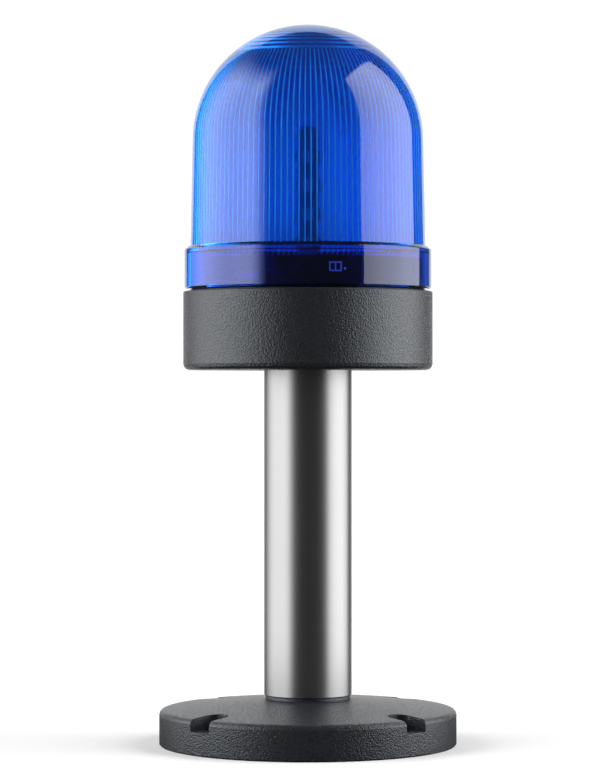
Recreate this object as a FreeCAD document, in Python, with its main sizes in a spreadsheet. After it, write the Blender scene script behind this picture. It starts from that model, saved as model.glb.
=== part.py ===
import FreeCAD, Part
import math
import os
import re

import Sketcher

# A 70 mm signal beacon on a 25 mm tube and a round screw-down foot.
# Millimetres. +Z is up, the origin is the centre of the foot's underside, and -Y is the front.

SIZES = {
    # Foot: a round cover, hollow below, with four open screw notches
    "foot_radius": 42.3,
    "foot_wall_height": 10.1,
    "foot_rise": 3.1,
    "foot_edge_round": 1.5,
    "foot_base_chamfer": 0.4,
    "foot_skin": 3.0,
    "rim_wall": 2.8,
    "hub_margin": 1.5,
    "rib_width": 2.0,
    "seat_step_inset": 0.5,
    "seat_step_height": 0.85,
    "cable_bore_radius": 4.0,
    "notch_angle": 45.0,
    "notch_floor": 6.6,
    "notch_width": 7.6,
    "mount_inset": 5.8,
    "mount_hole_radius": 2.25,
    "mount_boss_margin": 2.2,
    # Tube and the two plugs pressed into its ends
    "tube_radius": 12.5,
    "tube_wall": 1.2,
    "tube_length": 100.0,
    "tube_edge_chamfer": 0.3,
    "plug_length": 15.0,
    "plug_clearance": 0.05,
    "plug_bore_radius": 4.5,
    "plug_screw_inset": 3.1,
    "plug_screw_radius": 1.5,
    "plug_screw_length": 12.0,
    "screw_clearance": 0.2,
    "thread_clearance": 0.05,
    "screw_head_radius": 2.75,
    "screw_head_height": 2.0,
    "head_well_clearance": 0.3,
    "socket_depth": 1.2,
    "socket_flat_radius": 1.3,
    # Housing: cup, tube socket, board posts and bayonet rim
    "housing_radius": 35.5,
    "housing_height": 22.4,
    "housing_wall": 2.9,
    "housing_floor": 2.7,
    "housing_base_round": 1.8,
    "housing_top_chamfer": 0.3,
    "tube_socket_depth": 7.55,
    "tube_socket_clearance": 0.1,
    "tube_socket_wall": 2.6,
    "socket_plate": 2.5,
    "rim_gap": 0.6,
    "rim_thickness": 3.4,
    "rim_height": 9.1,
    "rim_ledge_drop": 5.0,
    "post_inset": 7.4,
    "post_radius": 3.0,
    "post_height": 14.8,
    # Bayonet between housing and lens
    "lens_turn": 25.0,
    "lug_arc": 14.0,
    "lug_height": 1.9,
    "lug_reach": 1.7,
    "lug_lift": 2.1,
    "bayonet_clearance": 0.35,
    "bayonet_end_gap": 1.0,
    # Seal ring in a groove round the foot of the rim
    "seal_depth": 0.9,
    "seal_stand_out": 0.3,
    "seal_height": 1.2,
    "seal_chamfer": 0.3,
    "seal_lift": 0.3,
    # Lens: collar, shoulder, fluted wall, crown with rings
    "seam_gap": 0.6,
    "collar_inset": 0.3,
    "collar_height": 11.4,
    "collar_wall": 1.8,
    "collar_base_chamfer": 0.5,
    "shoulder_height": 0.8,
    "shoulder_width": 1.6,
    "dome_inset": 0.1,
    "dome_draft": 0.6,
    "dome_wall_height": 30.2,
    "lens_wall": 1.9,
    "collar_roof": 1.9,
    "flute_count": 120.0,
    "flute_depth": 0.4,
    "flute_steps": 5.0,
    "crown_inset": 15.8,
    "crown_ring_count": 5.0,
    "crown_ring_depth": 0.45,
    # Driver board and what stands on it
    "board_gap": 3.4,
    "board_thickness": 1.6,
    "board_screw_radius": 1.25,
    "board_screw_length": 8.0,
    "board_screw_head_radius": 2.3,
    "board_screw_head_height": 1.6,
    "wire_slot_radius": 3.5,
    "block_width": 15.4,
    "block_depth": 8.2,
    "block_height": 9.4,
    "block_inset": 13.4,
    "block_pitch": 5.0,
    "block_screw_radius": 1.7,
    "block_screw_height": 3.0,
    "block_screw_slot": 0.6,
    "block_well_depth": 3.6,
    "block_wire_radius": 1.5,
    "block_wire_height": 3.4,
    "capacitor_radius": 4.0,
    "capacitor_height": 11.5,
    "capacitor_chamfer": 0.5,
    "capacitor_inset": 11.0,
    "choke_radius": 3.8,
    "choke_core_radius": 2.5,
    "choke_height": 6.2,
    "choke_flange": 1.1,
    "choke_inset": 11.5,
    "bridge_length": 8.2,
    "bridge_width": 6.4,
    "bridge_height": 2.6,
    "chip_length": 5.0,
    "chip_width": 4.0,
    "chip_height": 1.6,
    "part_inset": 11.0,
    # Light post: a square core with a circuit strip on each side
    "core_side": 4.4,
    "core_height": 49.0,
    "core_foot_side": 11.0,
    "core_foot_height": 2.0,
    "strip_thickness": 0.8,
    "strip_gap": 1.0,
    "led_width": 2.8,
    "led_height": 3.4,
    "led_thickness": 0.6,
    "led_count": 5.0,
    "led_pitch": 8.2,
    "led_lift": 8.6,
    "cap_radius": 3.5,
    "cap_thickness": 0.8,
}

# Radii, and heights above the floor, that follow from the sizes above
DERIVED = {
    "hub_radius": "tube_radius + hub_margin",
    "seat_step_radius": "tube_radius - seat_step_inset",
    "ring_rib_radius": "(hub_radius + foot_radius - rim_wall) / 2",
    "mount_circle_radius": "foot_radius - mount_inset",
    "plug_screw_circle": "tube_radius - tube_wall - plug_screw_inset",
    "collar_radius": "housing_radius - collar_inset",
    "collar_inside": "collar_radius - collar_wall",
    "rim_radius": "collar_inside - rim_gap",
    "rim_inside": "rim_radius - rim_thickness",
    "post_circle": "rim_inside - post_inset",
    "board_radius": "rim_inside - board_gap",
    "block_front": "board_radius - block_inset",
    "capacitor_place": "board_radius - capacitor_inset",
    "choke_place": "board_radius - choke_inset",
    "part_row": "board_radius - part_inset",
    "dome_foot_radius": "collar_radius - shoulder_width - dome_inset",
    "dome_radius": "dome_foot_radius - dome_draft",
    "crown_radius": "dome_radius - crown_inset",
    "foot_top": "foot_wall_height + foot_rise",
    "tube_base": "foot_top + seat_step_height",
    "tube_top": "tube_base + tube_length",
    "housing_base": "tube_top - tube_socket_depth",
    "housing_top": "housing_base + housing_height",
    "housing_inside": "housing_base + housing_floor",
    "plate_top": "tube_top + socket_plate",
    "rim_top": "housing_top + rim_height",
    "board_base": "housing_inside + post_height",
    "board_top": "board_base + board_thickness",
    "core_top": "board_top + core_height",
    "collar_base": "housing_top + seam_gap",
    "collar_top": "collar_base + collar_height",
    "dome_foot": "collar_top + shoulder_height",
    "dome_spring": "dome_foot + dome_wall_height",
    "collar_roof_level": "dome_foot - collar_roof",
    "lug_base": "collar_base + lug_lift",
}

doc = FreeCAD.newDocument("signal_beacon")
sheet = doc.addObject("Spreadsheet::Sheet", "Sizes")


def formula(text):
    """Write the names of the sheet's cells in full, so that an expression can read them."""
    def full(match):
        word = match.group()
        return "Sizes." + word if word in SIZES or word in DERIVED else word
    return re.sub(r"[a-z][a-z_]*", full, text)


def fill_sheet():
    """One row for each driving size, then one for each value worked out from them."""
    row = 0
    for name, amount in SIZES.items():
        row += 1
        sheet.set("A%d" % row, name)
        sheet.set("B%d" % row, str(amount))
        sheet.setAlias("B%d" % row, name)
    for name, text in DERIVED.items():
        row += 1
        sheet.set("A%d" % row, name)
        sheet.set("B%d" % row, "=" + text)
        sheet.setAlias("B%d" % row, name)
    doc.recompute()


def number(text):
    """The value of a formula as it stands in the sheet now."""
    result = sheet.evalExpression(formula(text))
    return float(getattr(result, "Value", result))


def bind(item, prop, text):
    """Tie one property of an object to a formula of the sheet's sizes."""
    item.setExpression(prop, formula(text))


def new_body(label):
    body = doc.addObject("PartDesign::Body", label)
    body.Label = label
    return body


def new_sketch(body, name, role="XZ_Plane", lift=None, turn=None):
    """A sketch on one of the body's origin planes, lifted off it or turned about the Z axis."""
    sketch = body.newObject("Sketcher::SketchObject", name)
    plane = [item for item in body.Origin.OriginFeatures if item.Role == role][0]
    sketch.AttachmentSupport = [(plane, "")]
    sketch.MapMode = "FlatFace"
    if lift is not None:
        bind(sketch, "AttachmentOffset.Base.z", lift)
    if turn is not None:
        axis = FreeCAD.Vector(0, 1, 0) if role == "XZ_Plane" else FreeCAD.Vector(0, 0, 1)
        sketch.AttachmentOffset = FreeCAD.Placement(
            FreeCAD.Vector(0, 0, number(lift) if lift else 0), FreeCAD.Rotation(axis, number(turn)))
        bind(sketch, "AttachmentOffset.Rotation.Angle", turn)
    return sketch


def pin_point(sketch, edge, end, across, up):
    """Hold a point of an edge at two formulas, or on an axis where the formula is 0."""
    for text, axis, kind in ((across, -2, "DistanceX"), (up, -1, "DistanceY")):
        if text is None:
            continue
        if text == "0":
            sketch.addConstraint(Sketcher.Constraint("PointOnObject", edge, end, axis))
            continue
        rule = sketch.addConstraint(Sketcher.Constraint(kind, -1, 1, edge, end, number(text)))
        bind(sketch, "Constraints[%d]" % rule, text)


def draw_outline(sketch, corners, arcs=None):
    """A closed outline through the corners.

    arcs names the edges that are circular, by the number of the corner that each one leaves,
    and gives the centre (across, up) and the way round, +1 for anticlockwise. The corners
    fix the arc's ends, so only the centre's first coordinate is held.
    """
    arcs = arcs or {}
    spots = [FreeCAD.Vector(number(across), number(up), 0) for across, up in corners]
    total = len(corners)
    first = sketch.GeometryCount
    ends = []
    for i in range(total):
        start, stop = spots[i], spots[(i + 1) % total]
        if i not in arcs:
            sketch.addGeometry(Part.LineSegment(start, stop), False)
            ends.append((1, 2))
            continue
        centre_across, centre_up, way = arcs[i]
        centre = FreeCAD.Vector(number(centre_across), number(centre_up), 0)
        low, high = (start, stop) if way > 0 else (stop, start)
        circle = Part.Circle(centre, FreeCAD.Vector(0, 0, 1), (start - centre).Length)
        from_angle = math.atan2(low.y - centre.y, low.x - centre.x)
        to_angle = math.atan2(high.y - centre.y, high.x - centre.x)
        if to_angle < from_angle:
            to_angle += 2 * math.pi
        sketch.addGeometry(Part.ArcOfCircle(circle, from_angle, to_angle), False)
        ends.append((1, 2) if way > 0 else (2, 1))
    for i in range(total):
        after = (i + 1) % total
        rule = Sketcher.Constraint("Coincident", first + i, ends[i][1], first + after, ends[after][0])
        sketch.addConstraint(rule)
    for i, (across, up) in enumerate(corners):
        pin_point(sketch, first + i, ends[i][0], across, up)
    for i, (centre_across, centre_up, way) in arcs.items():
        pin_point(sketch, first + i, 3, centre_across, None)


def draw_circle(sketch, across, up, radius):
    centre = FreeCAD.Vector(number(across), number(up), 0)
    circle = Part.Circle(centre, FreeCAD.Vector(0, 0, 1), number(radius))
    edge = sketch.addGeometry(circle, False)
    rule = sketch.addConstraint(Sketcher.Constraint("Radius", edge, number(radius)))
    bind(sketch, "Constraints[%d]" % rule, radius)
    pin_point(sketch, edge, 3, across, up)


def revolve(body, name, corners, arcs=None):
    """A full turn of an outline about the body's Z axis."""
    sketch = new_sketch(body, name + "_outline")
    draw_outline(sketch, corners, arcs)
    turned = body.newObject("PartDesign::Revolution", name)
    turned.Profile = sketch
    turned.ReferenceAxis = (sketch, ["V_Axis"])
    turned.Angle = 360.0
    doc.recompute()
    return turned


def groove(body, name, corners, sweep, middle):
    """Cut an outline out of the body over part of a turn, centred on an angle from +X."""
    sketch = new_sketch(body, name + "_outline", turn=middle)
    draw_outline(sketch, corners)
    before = body.Shape.Volume
    cut = body.newObject("PartDesign::Groove", name)
    cut.Profile = sketch
    cut.ReferenceAxis = (sketch, ["V_Axis"])
    cut.Midplane = True
    bind(cut, "Angle", sweep)
    doc.recompute()
    check_cut(body, name, before)
    return cut


def check_cut(body, name, before):
    if body.Shape.Volume >= before:
        raise RuntimeError(name + " cut nothing")


def pocket(body, name, sketch, depth, upward=False):
    """Cut a sketch into the body, down from its plane or up from it."""
    before = body.Shape.Volume
    cut = body.newObject("PartDesign::Pocket", name)
    cut.Profile = sketch
    cut.Reversed = upward
    bind(cut, "Length", depth)
    doc.recompute()
    check_cut(body, name, before)
    return cut


def repeat_round(body, name, features, count):
    """Copies of the features in a full circle about the body's Z axis."""
    axis = [item for item in body.Origin.OriginFeatures if item.Role == "Z_Axis"][0]
    pattern = body.newObject("PartDesign::PolarPattern", name)
    pattern.Originals = features
    pattern.Axis = (axis, [""])
    pattern.Angle = 360.0
    pattern.Occurrences = count
    body.Tip = pattern
    doc.recompute()
    return pattern


def soft_corner(across, up, radius, top, bands=3, sweep=90.0):
    """Corners of an outline that round an outer edge in a few flat bands.

    The edge would meet at (across, up). It is a lower edge, or an upper one where top is set.
    """
    start = 0.0 if top else -90.0
    middle = "%s - %s" % (up, radius) if top else "%s + %s" % (up, radius)
    corners = []
    for i in range(bands + 1):
        angle = start + sweep * i / bands
        corners.append(("%s - %s + %s * cos(%.4f)" % (across, radius, radius, angle),
                        "%s + %s * sin(%.4f)" % (middle, radius, angle)))
    return corners


def place(item, across, deep, up):
    bind(item, "Placement.Base.x", across)
    bind(item, "Placement.Base.y", deep)
    bind(item, "Placement.Base.z", up)
    return item


def cylinder(name, radius, height, across, deep, up):
    item = doc.addObject("Part::Cylinder", name)
    bind(item, "Radius", radius)
    bind(item, "Height", height)
    return place(item, across, deep, up)


def block(name, length, width, height, across, deep, up):
    """A box whose underside is centred on the given point."""
    item = doc.addObject("Part::Box", name)
    bind(item, "Length", length)
    bind(item, "Width", width)
    bind(item, "Height", height)
    return place(item, "(%s) - (%s) / 2" % (across, length), "(%s) - (%s) / 2" % (deep, width), up)


def cut_from(name, base, tool):
    item = doc.addObject("Part::Cut", name)
    item.Base = base
    item.Tool = tool
    return item


def fuse(name, parts):
    item = doc.addObject("Part::MultiFuse", name)
    item.Shapes = parts
    return item


def group(label, parts):
    """Separate solids that share one sub-part."""
    item = doc.addObject("Part::Compound", label)
    item.Links = parts
    item.Label = label
    return item


def make_foot():
    body = new_body("foot")
    upper_edge = soft_corner("foot_radius", "foot_wall_height", "foot_edge_round", True, 3, 85.0)
    revolve(body, "foot_disc", [
        ("cable_bore_radius", "0"),
        ("foot_radius - foot_base_chamfer", "0"),
        ("foot_radius", "foot_base_chamfer"),
    ] + upper_edge + [
        ("seat_step_radius", "foot_top"),
        ("seat_step_radius", "tube_base"),
        ("cable_bore_radius", "tube_base"),
    ])
    cut_foot_cells(body)
    cut_notches(body)
    cut_plug_screw_wells(body)
    return body


def sector(inner, outer, start, stop):
    """Corners and arcs of a piece of a ring between two angles, in degrees from +X."""
    corners = [
        ("(%s) * cos(%s)" % (inner, start), "(%s) * sin(%s)" % (inner, start)),
        ("(%s) * cos(%s)" % (outer, start), "(%s) * sin(%s)" % (outer, start)),
        ("(%s) * cos(%s)" % (outer, stop), "(%s) * sin(%s)" % (outer, stop)),
        ("(%s) * cos(%s)" % (inner, stop), "(%s) * sin(%s)" % (inner, stop)),
    ]
    return corners, {1: ("0", "0", 1), 3: ("0", "0", -1)}


def cut_foot_cells(body):
    """Two rings of hollows below the cover, which leave a hub, ribs, a ring rib and four bosses."""
    inner_ring = "ring_rib_radius - rib_width / 2"
    outer_ring = "ring_rib_radius + rib_width / 2"
    rim_inside = "foot_radius - rim_wall"
    cone = "(foot_rise / (foot_radius - seat_step_radius))"
    rib_turn = "asin(rib_width / 2 / (%s))" % outer_ring
    boss_turn = "asin((notch_width / 2 + mount_boss_margin) / mount_circle_radius)"
    outer_depth = "foot_wall_height - foot_skin + (foot_radius - (%s)) * %s" % (rim_inside, cone)
    inner_depth = "foot_wall_height - foot_skin + (foot_radius - (%s)) * %s" % (inner_ring, cone)
    outer_cells = new_sketch(body, "outer_cells", "XY_Plane")
    for start, stop in ((rib_turn, "notch_angle * 1 deg - " + boss_turn),
                        ("notch_angle * 1 deg + " + boss_turn, "90 deg - " + rib_turn)):
        corners, arcs = sector(outer_ring, rim_inside, start, stop)
        draw_outline(outer_cells, corners, arcs)
    outer = pocket(body, "outer_hollow", outer_cells, outer_depth, upward=True)
    repeat_round(body, "outer_hollows", [outer], 4)
    inner_cells = new_sketch(body, "inner_cells", "XY_Plane")
    inner_turn = "asin(rib_width / 2 / (hub_radius))"
    corners, arcs = sector("hub_radius", inner_ring, inner_turn, "45 deg - " + inner_turn)
    draw_outline(inner_cells, corners, arcs)
    inner = pocket(body, "inner_hollow", inner_cells, inner_depth, upward=True)
    repeat_round(body, "inner_hollows", [inner], 8)


def cut_notches(body):
    """Screw notches: slots with a round end, open through the rim, with a hole for the shank."""
    half = "notch_width / 2"
    middle = "mount_circle_radius"
    reach = "foot_radius + rim_wall"
    slot_sketch = new_sketch(body, "notch_outline", "XY_Plane", "tube_base", "notch_angle")
    corners = [(middle, "-(%s)" % half), (reach, "-(%s)" % half), (reach, half), (middle, half)]
    draw_outline(slot_sketch, corners, {3: (middle, "0", 1)})
    slot = pocket(body, "notch", slot_sketch, "tube_base - notch_floor")
    hole_sketch = new_sketch(body, "mount_hole_outline", "XY_Plane", "notch_floor", "notch_angle")
    draw_circle(hole_sketch, middle, "0", "mount_hole_radius")
    hole = pocket(body, "mount_hole", hole_sketch, "notch_floor")
    repeat_round(body, "notches", [slot, hole], 4)


def cut_plug_screw_wells(body):
    """Wells for the screw heads below the hub, and holes for their shanks up to the tube."""
    well_sketch = new_sketch(body, "head_well_outline", "XY_Plane")
    draw_circle(well_sketch, "plug_screw_circle", "0", "screw_head_radius + head_well_clearance")
    well = pocket(body, "head_well", well_sketch, "tube_base - socket_plate", upward=True)
    hole_sketch = new_sketch(body, "shank_hole_outline", "XY_Plane")
    draw_circle(hole_sketch, "plug_screw_circle", "0", "plug_screw_radius + screw_clearance")
    hole = pocket(body, "shank_hole", hole_sketch, "tube_base", upward=True)
    repeat_round(body, "plug_screw_holes", [well, hole], 3)


def make_tube():
    body = new_body("tube")
    inside = "tube_radius - tube_wall"
    revolve(body, "tube_wall_ring", [
        (inside, "tube_base"),
        ("tube_radius - tube_edge_chamfer", "tube_base"),
        ("tube_radius", "tube_base + tube_edge_chamfer"),
        ("tube_radius", "tube_top - tube_edge_chamfer"),
        ("tube_radius - tube_edge_chamfer", "tube_top"),
        (inside, "tube_top"),
    ])
    return body


def make_plug(label, base):
    """A plug for one end of the tube, with a cable bore and three screw holes."""
    body = new_body(label)
    outside = "tube_radius - tube_wall - plug_clearance"
    top = "%s + plug_length" % base
    revolve(body, label + "_ring", [
        ("plug_bore_radius", base), (outside, base), (outside, top), ("plug_bore_radius", top),
    ])
    sketch = new_sketch(body, label + "_hole_outline", "XY_Plane", base)
    draw_circle(sketch, "plug_screw_circle", "0", "plug_screw_radius + thread_clearance")
    hole = pocket(body, label + "_hole", sketch, "plug_length", upward=True)
    repeat_round(body, label + "_holes", [hole], 3)
    return body


def screws(label, circle, seat, sizes, count=3, down=True, phase=0.0):
    """Socket screws on a circle. The seat is the level under the heads."""
    head_radius, head_height, shank_radius, shank_length = sizes
    solids = []
    for i in range(count):
        angle = phase + 360.0 * i / count
        across = "(%s) * cos(%.6f)" % (circle, angle)
        deep = "(%s) * sin(%.6f)" % (circle, angle)
        name = "%s_%d" % (label, i + 1)
        head_base = seat if down else "%s - (%s)" % (seat, head_height)
        shank_base = "%s - (%s)" % (seat, shank_length) if down else seat
        well_base = ("%s + (%s) - socket_depth" % (seat, head_height) if down
                     else "%s - (%s)" % (seat, head_height))
        head = cylinder(name + "_head", head_radius, head_height, across, deep, head_base)
        shank = cylinder(name + "_shank", shank_radius, shank_length, across, deep, shank_base)
        well = doc.addObject("Part::Prism", name + "_socket")
        well.Polygon = 6
        bind(well, "Circumradius", "socket_flat_radius")
        bind(well, "Height", "socket_depth")
        place(well, across, deep, well_base)
        solids.append(cut_from(name, fuse(name + "_blank", [head, shank]), well))
    return group(label, solids)


def make_housing():
    body = new_body("housing")
    inside = "housing_radius - housing_wall"
    ledge = "housing_top - rim_ledge_drop"
    socket_inside = "tube_radius + tube_socket_clearance"
    socket_outside = "tube_radius + tube_socket_clearance + tube_socket_wall"
    groove_floor = "rim_radius - seal_depth"
    groove_low = "housing_top + seal_lift - thread_clearance"
    groove_high = "housing_top + seal_lift + seal_height + thread_clearance"
    revolve(body, "housing_cup", [
        (socket_inside, "housing_base"),
    ] + soft_corner("housing_radius", "housing_base", "housing_base_round", False) + [
        ("housing_radius", "housing_top - housing_top_chamfer"),
        ("housing_radius - housing_top_chamfer", "housing_top"),
        ("rim_radius", "housing_top"),
        ("rim_radius", groove_low),
        (groove_floor, groove_low),
        (groove_floor, groove_high),
        ("rim_radius", groove_high),
        ("rim_radius", "rim_top"),
        ("rim_inside", "rim_top"),
        ("rim_inside", ledge),
        (inside, "%s - (%s - rim_inside)" % (ledge, inside)),
        (inside, "housing_inside"),
        (socket_outside, "housing_inside"),
        (socket_outside, "plate_top"),
        ("cable_bore_radius", "plate_top"),
        ("cable_bore_radius", "tube_top"),
        (socket_inside, "tube_top"),
    ])
    add_board_posts(body)
    cut_bayonet(body)
    hole_sketch = new_sketch(body, "plate_hole_outline", "XY_Plane", "plate_top")
    draw_circle(hole_sketch, "plug_screw_circle", "0", "plug_screw_radius + screw_clearance")
    hole = pocket(body, "plate_hole", hole_sketch, "socket_plate")
    repeat_round(body, "plate_holes", [hole], 3)
    return body


def add_board_posts(body):
    """Three round posts with blind screw holes, which carry the driver board."""
    foot_sketch = new_sketch(body, "post_outline", "XY_Plane", "housing_inside", "90")
    draw_circle(foot_sketch, "post_circle", "0", "post_radius")
    post = body.newObject("PartDesign::Pad", "post")
    post.Profile = foot_sketch
    bind(post, "Length", "post_height")
    doc.recompute()
    hole_sketch = new_sketch(body, "post_hole_outline", "XY_Plane", "board_base", "90")
    draw_circle(hole_sketch, "post_circle", "0", "board_screw_radius + thread_clearance")
    hole = pocket(body, "post_hole", hole_sketch, "board_screw_length")
    repeat_round(body, "posts", [post, hole], 3)


def cut_bayonet(body):
    """Three L-shaped channels: in from the rim's top edge, then round to the locked end."""
    floor = "collar_inside - lug_reach - bayonet_clearance"
    outside = "rim_radius + rim_gap / 2"
    low = "lug_base - bayonet_clearance"
    high = "lug_base + lug_height + bayonet_clearance"
    run = groove(body, "lock_channel", [
        (floor, low), (outside, low), (outside, high), (floor, high),
    ], "lug_arc + lens_turn + 2 * bayonet_end_gap", "lens_turn / 2")
    half_arc = "lug_arc / 2 + bayonet_end_gap"
    corners, arcs = sector(floor, outside, "lens_turn - (%s)" % half_arc, "lens_turn + %s" % half_arc)
    entry_sketch = new_sketch(body, "entry_channel_outline", "XY_Plane", "rim_top")
    draw_outline(entry_sketch, corners, arcs)
    entry = pocket(body, "entry_channel", entry_sketch, "rim_top - (lug_base + lug_height / 2)")
    repeat_round(body, "bayonet_channels", [run, entry], 3)


def make_seal():
    """A flat-backed ring that lies in the groove below the bayonet, with a blunt outer edge."""
    body = new_body("lens_seal")
    inner = "rim_radius - seal_depth + thread_clearance"
    outer = "rim_radius + seal_stand_out"
    low = "housing_top + seal_lift"
    high = "housing_top + seal_lift + seal_height"
    revolve(body, "seal_ring", [
        (inner, low),
        (outer + " - seal_chamfer", low),
        (outer, low + " + seal_chamfer"),
        (outer, high + " - seal_chamfer"),
        (outer + " - seal_chamfer", high),
        (inner, high),
    ])
    return body


def make_lens():
    """Collar, shoulder and dome turned as one, hollowed by a fluted core, with three lugs inside."""
    body = new_body("lens_shell")
    revolve(body, "lens_blank", [
        ("0", "collar_base"),
        ("collar_radius - collar_base_chamfer", "collar_base"),
        ("collar_radius", "collar_base + collar_base_chamfer"),
        ("collar_radius", "collar_top"),
        ("collar_radius - shoulder_width", "dome_foot"),
        ("dome_foot_radius", "dome_foot"),
        ("dome_radius", "dome_spring"),
        ("0", "dome_spring + dome_radius"),
    ], {6: ("0", "dome_spring", 1)})
    mouth = doc.addObject("Part::Cylinder", "collar_mouth")
    bind(mouth, "Radius", "collar_inside")
    bind(mouth, "Height", "collar_roof_level - collar_base")
    place(mouth, "0", "0", "collar_base")
    lugs = [make_lug("lug_%d" % (i + 1), 120.0 * i) for i in range(3)]
    mouth_with_lugs = cut_from("collar_mouth_with_lugs", mouth, fuse("lugs", lugs))
    hollow = fuse("lens_hollow", [mouth_with_lugs, fluted_core(), crown_core()])
    lens = cut_from("lens_cut", body, hollow)
    lens.Label = "lens"
    return lens


def make_lug(name, angle):
    """A piece of a ring that stays standing inside the collar, centred on its angle."""
    outer = doc.addObject("Part::Cylinder", name + "_outer")
    inner = doc.addObject("Part::Cylinder", name + "_inner")
    bind(outer, "Radius", "collar_radius")
    bind(inner, "Radius", "collar_inside - lug_reach")
    for item in (outer, inner):
        bind(item, "Height", "lug_height")
        bind(item, "Angle", "lug_arc")
        item.Placement = FreeCAD.Placement(
            FreeCAD.Vector(0, 0, 0), FreeCAD.Rotation(FreeCAD.Vector(0, 0, 1), angle - number("lug_arc") / 2))
        bind(item, "Placement.Rotation.Angle", "%.6f - lug_arc / 2" % angle)
        bind(item, "Placement.Base.z", "lug_base")
    return cut_from(name, outer, inner)


def flute_levels():
    """Radius and height of each star outline: up the tapered wall, then round the dome."""
    wall = number("lens_wall")
    spring = number("dome_spring")
    radius = number("dome_radius") - wall
    steps = int(number("flute_steps"))
    last = math.acos(number("crown_radius") / radius)
    levels = [(number("dome_foot_radius") - wall, number("collar_roof_level"))]
    for i in range(steps + 1):
        tilt = last * i / steps
        levels.append((radius * math.cos(tilt), spring + radius * math.sin(tilt)))
    return levels


def fluted_core():
    """The ribbed part of the hollow.

    A star outline of peaks and valleys is scaled from level to level, so each
    side of each flute is a flat four-sided face.
    """
    count = int(number("flute_count"))
    depth = number("flute_depth")
    levels = flute_levels()
    valley = levels[0][0]
    rings = []
    for radius, height in levels:
        ring = []
        for i in range(2 * count):
            turn = math.pi * i / count
            reach = radius if i % 2 else radius * (1 - depth / valley)
            ring.append(FreeCAD.Vector(reach * math.cos(turn), reach * math.sin(turn), height))
        rings.append(ring)
    faces = [Part.Face(Part.makePolygon(rings[0] + rings[0][:1]))]
    faces.append(Part.Face(Part.makePolygon(rings[-1] + rings[-1][:1])))
    for lower, upper in zip(rings, rings[1:]):
        for i in range(2 * count):
            j = (i + 1) % (2 * count)
            side = [lower[i], lower[j], upper[j], upper[i], lower[i]]
            faces.append(Part.Face(Part.makePolygon(side)))
    core = doc.addObject("Part::Feature", "fluted_core")
    shell = Part.makeShell(faces)
    solid = Part.makeSolid(shell)
    if solid.Volume < 0:
        solid.reverse()
    core.Shape = solid
    return core


def crown_core():
    """The top of the hollow: stepped rings that follow the dome down to the flutes."""
    radius = number("dome_radius") - number("lens_wall")
    spring = number("dome_spring")
    edge = number("crown_radius") * (1 - number("flute_depth") / radius) - number("thread_clearance")
    base = flute_levels()[-1][1] - number("crown_ring_depth")
    rings = int(number("crown_ring_count"))
    depth = number("crown_ring_depth")
    outline = [FreeCAD.Vector(0, 0, base), FreeCAD.Vector(edge, 0, base)]
    for i in range(rings):
        outer = edge * (rings - i) / rings
        inner = edge * (rings - i - 1) / rings
        low = spring + math.sqrt(radius ** 2 - outer ** 2)
        high = spring + math.sqrt(radius ** 2 - inner ** 2)
        outline.append(FreeCAD.Vector(outer, 0, low))
        if inner > 0:
            outline.append(FreeCAD.Vector(inner, 0, high - depth))
        else:
            outline.append(FreeCAD.Vector(0, 0, high))
    outline.append(outline[0])
    face = Part.Face(Part.makePolygon(outline))
    core = doc.addObject("Part::Feature", "crown_core")
    core.Shape = face.revolve(FreeCAD.Vector(0, 0, 0), FreeCAD.Vector(0, 0, 1), 360)
    return core


def make_board():
    body = new_body("driver_board")
    sketch = new_sketch(body, "board_outline", "XY_Plane", "board_base")
    draw_circle(sketch, "0", "0", "board_radius")
    pad = body.newObject("PartDesign::Pad", "board_disc")
    pad.Profile = sketch
    bind(pad, "Length", "board_thickness")
    doc.recompute()
    slot_sketch = new_sketch(body, "wire_slot_outline", "XY_Plane", "board_top", "90")
    draw_circle(slot_sketch, "-(board_radius)", "0", "wire_slot_radius")
    pocket(body, "wire_slot", slot_sketch, "board_thickness")
    hole_sketch = new_sketch(body, "board_hole_outline", "XY_Plane", "board_top", "90")
    draw_circle(hole_sketch, "post_circle", "0", "board_screw_radius + screw_clearance")
    hole = pocket(body, "board_hole", hole_sketch, "board_thickness")
    repeat_round(body, "board_holes", [hole], 3)
    return body


def make_terminal_block():
    """A three-way block with a screw well above each wire opening."""
    solid = block("block_blank", "block_width", "block_depth", "block_height",
                  "0", "-(block_front)", "board_top")
    wells = []
    openings = []
    for i in (-1, 0, 1):
        across = "%d * block_pitch" % i
        wells.append(cylinder("block_well_%d" % (i + 2), "block_screw_radius + screw_clearance",
                              "block_well_depth", across, "-(block_front)",
                              "board_top + block_height - block_well_depth"))
        opening = doc.addObject("Part::Cylinder", "block_opening_%d" % (i + 2))
        bind(opening, "Radius", "block_wire_radius")
        bind(opening, "Height", "block_depth / 2")
        opening.Placement = FreeCAD.Placement(
            FreeCAD.Vector(0, 0, 0), FreeCAD.Rotation(FreeCAD.Vector(1, 0, 0), 90))
        place(opening, across, "-(block_front)", "board_top + block_wire_height")
        openings.append(opening)
    cut = cut_from("block_cut", solid, fuse("block_spaces", wells + openings))
    cut.Label = "terminal_block"
    return cut


def make_terminal_screws():
    solids = []
    for i in (-1, 0, 1):
        across = "%d * block_pitch" % i
        name = "terminal_screw_%d" % (i + 2)
        base = "board_top + block_height - block_well_depth"
        head = cylinder(name + "_head", "block_screw_radius", "block_screw_height",
                        across, "-(block_front)", base)
        slot = block(name + "_slot", "3 * block_screw_radius", "block_screw_slot", "block_screw_slot",
                     across, "-(block_front)", base + " + block_screw_height - block_screw_slot")
        solids.append(cut_from(name, head, slot))
    return group("terminal_screws", solids)


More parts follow.
